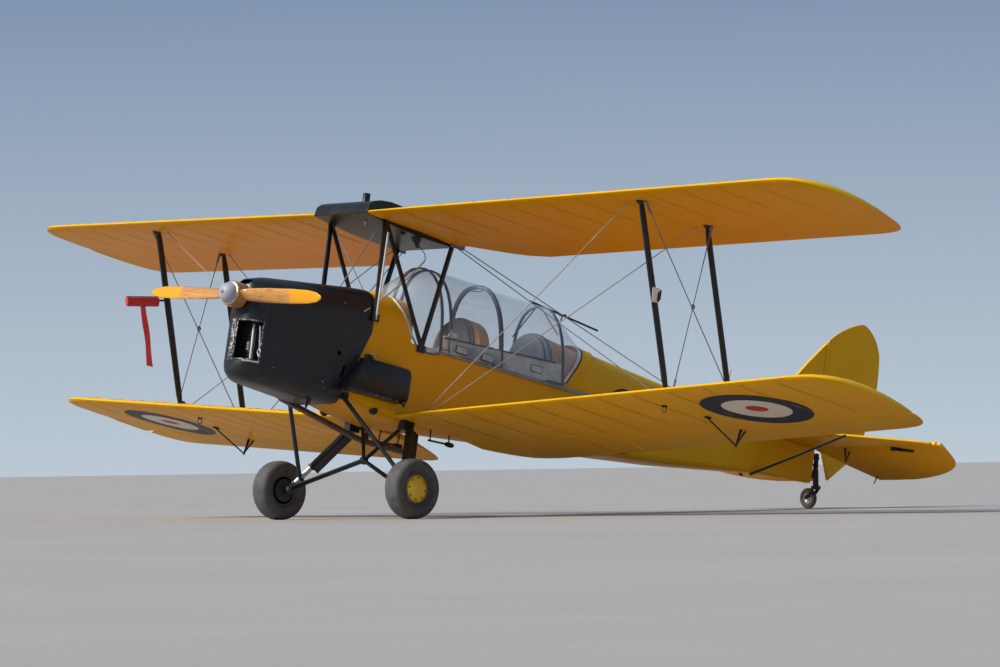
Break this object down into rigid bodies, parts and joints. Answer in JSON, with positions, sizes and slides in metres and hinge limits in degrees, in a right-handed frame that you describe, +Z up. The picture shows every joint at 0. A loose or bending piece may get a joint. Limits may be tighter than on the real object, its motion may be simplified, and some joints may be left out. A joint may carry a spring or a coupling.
{
  "type": "two-seat biplane",
  "caption": "Two-seat training biplane with a long black cowl, glazed sliding hoods over tandem cockpits, strut-braced wings and a tailwheel.",
  "frame": {"origin": "bottom centre of the overall box: on the ground, in the plane of symmetry, half way between the spinner's tip and the rudder's rear edge", "axes": "-X to the nose, +Y to the starboard wing tips, +Z up; the machine stands parked with its tail down"},
  "size_m": [7.3182, 8.936, 2.5399],
  "materials": {
    "yellow": "gloss",
    "yellow_metal": "gloss",
    "black": "satin",
    "grey": "satin",
    "steel": "satin",
    "aluminium": "satin",
    "wood": "gloss",
    "glass": "gloss",
    "tyre": "matte",
    "tan": "matte",
    "slate": "matte",
    "red": "matte"
  },
  "bodies": {
    "airframe": {"upper_wing_port": "yellow", "lower_wing_port": "yellow", "cabane_port": "black", "rear_interplane_strut_port": "black", "flying_wires_port": "steel", "landing_wires_port": "steel", "sill_rail_port": "aluminium", "gear_leg_port": "black", "tailplane_strut_port": "black", "upper_wing_starboard": "yellow", "lower_wing_starboard": "yellow", "cabane_starboard": "black", "rear_interplane_strut_starboard": "black", "flying_wires_starboard": "steel", "landing_wires_starboard": "steel", "sill_rail_starboard": "aluminium", "gear_leg_starboard": "black", "tailplane_strut_starboard": "black", "front_interplane_strut_port": "black", "front_interplane_strut_starboard": "black", "pitot_cover": "red", "nose_cowl": "black", "engine_block": "grey", "oil_tank": "black", "exhaust_pipe": "black", "fuselage": "yellow", "fuel_tank": "black", "cockpit_floor": "grey", "seat_front": "slate", "seat_rear": "slate", "headrest_front": "slate", "decking_middle": "tan", "headrest_rear": "slate", "decking_rear": "tan", "windscreen_frame": "grey", "windscreen_glass": "glass", "fin": "yellow", "tailplane": "yellow", "tail_leg": "black", "axle_frame": "black"},
    "propeller": {"propeller": "wood", "spinner": "grey"},
    "wheel_port": {"tyre_port": "tyre", "wheel_port": "yellow_metal"},
    "wheel_starboard": {"tyre_starboard": "tyre", "wheel_starboard": "yellow_metal"},
    "tail_castor": {"tail_fork": "grey"},
    "tail_roller": {"tail_tyre": "tyre", "tail_wheel": "grey"},
    "aileron_port": {"aileron_port": "yellow"},
    "aileron_starboard": {"aileron_starboard": "yellow"},
    "elevator": {"elevator": "yellow"},
    "rudder": {"rudder": "yellow"},
    "hood_front": {"hood_front_frame": "grey", "hood_front_glass": "glass"},
    "hood_rear": {"hood_rear_frame": "grey", "hood_rear_glass": "glass", "hood_tail_glass": "glass"},
    "cowl_side_port": {"cowl_side_port": "black"},
    "cowl_side_starboard": {"cowl_side_starboard": "black"}
  },
  "joints": [
    {"name": "propeller_spin", "type": "hinge", "parent": "airframe", "child": "propeller", "pos_m": [-3.51104, 0, 1.73432], "axis": [0.9782, 0, -0.2078], "continuous": true},
    {"name": "wheel_port_spin", "type": "hinge", "parent": "airframe", "child": "wheel_port", "pos_m": [-2.42225, -0.774, 0.23088], "axis": [0, 1, 0], "continuous": true},
    {"name": "wheel_starboard_spin", "type": "hinge", "parent": "airframe", "child": "wheel_starboard", "pos_m": [-2.42225, 0.774, 0.23088], "axis": [0, 1, 0], "continuous": true},
    {"name": "tail_castor_swivel", "type": "hinge", "parent": "airframe", "child": "tail_castor", "pos_m": [2.85375, 0, 0.2], "axis": [0, 0, 1], "continuous": true},
    {"name": "tail_wheel_spin", "type": "hinge", "parent": "tail_castor", "child": "tail_roller", "pos_m": [2.85375, 0.088, 0.08593], "axis": [1, 0, 0], "continuous": true},
    {"name": "aileron_port_hinge", "type": "hinge", "parent": "airframe", "child": "aileron_port", "pos_m": [-1.0089, -1.634, 0.6073], "axis": [-0.1111, 0.9923, -0.0549], "range_deg": [-22, 22]},
    {"name": "aileron_starboard_hinge", "type": "hinge", "parent": "airframe", "child": "aileron_starboard", "pos_m": [-1.0089, 1.634, 0.6073], "axis": [0.1111, 0.9923, 0.0549], "range_deg": [-22, 22]},
    {"name": "elevator_hinge", "type": "hinge", "parent": "airframe", "child": "elevator", "pos_m": [2.77817, 0, 0.5213], "axis": [0, -1, 0], "range_deg": [0, 46]},
    {"name": "rudder_hinge", "type": "hinge", "parent": "airframe", "child": "rudder", "pos_m": [2.90286, 0, 0.78106], "axis": [0.2078, 0, 0.9782], "range_deg": [-28, 28]},
    {"name": "hood_front_slide", "type": "slide", "parent": "airframe", "child": "hood_front", "axis": [0.9782, 0, -0.2078], "range_m": [-0.044, 0.48]},
    {"name": "hood_rear_slide", "type": "slide", "parent": "airframe", "child": "hood_rear", "axis": [0.9782, 0, -0.2078], "range_m": [0, 0.45]},
    {"name": "cowl_side_port_hinge", "type": "hinge", "parent": "airframe", "child": "cowl_side_port", "pos_m": [-3.29205, -0.195, 1.67759], "axis": [-0.9869, 0.1367, 0.086], "range_deg": [0, 75]},
    {"name": "cowl_side_starboard_hinge", "type": "hinge", "parent": "airframe", "child": "cowl_side_starboard", "pos_m": [-3.29205, 0.195, 1.67759], "axis": [0.9869, 0.1367, -0.086], "range_deg": [0, 75]}
  ],
  "couplings": [
    {"joint": "aileron_starboard_hinge", "follows": "aileron_port_hinge", "ratio": -1}
  ]
}
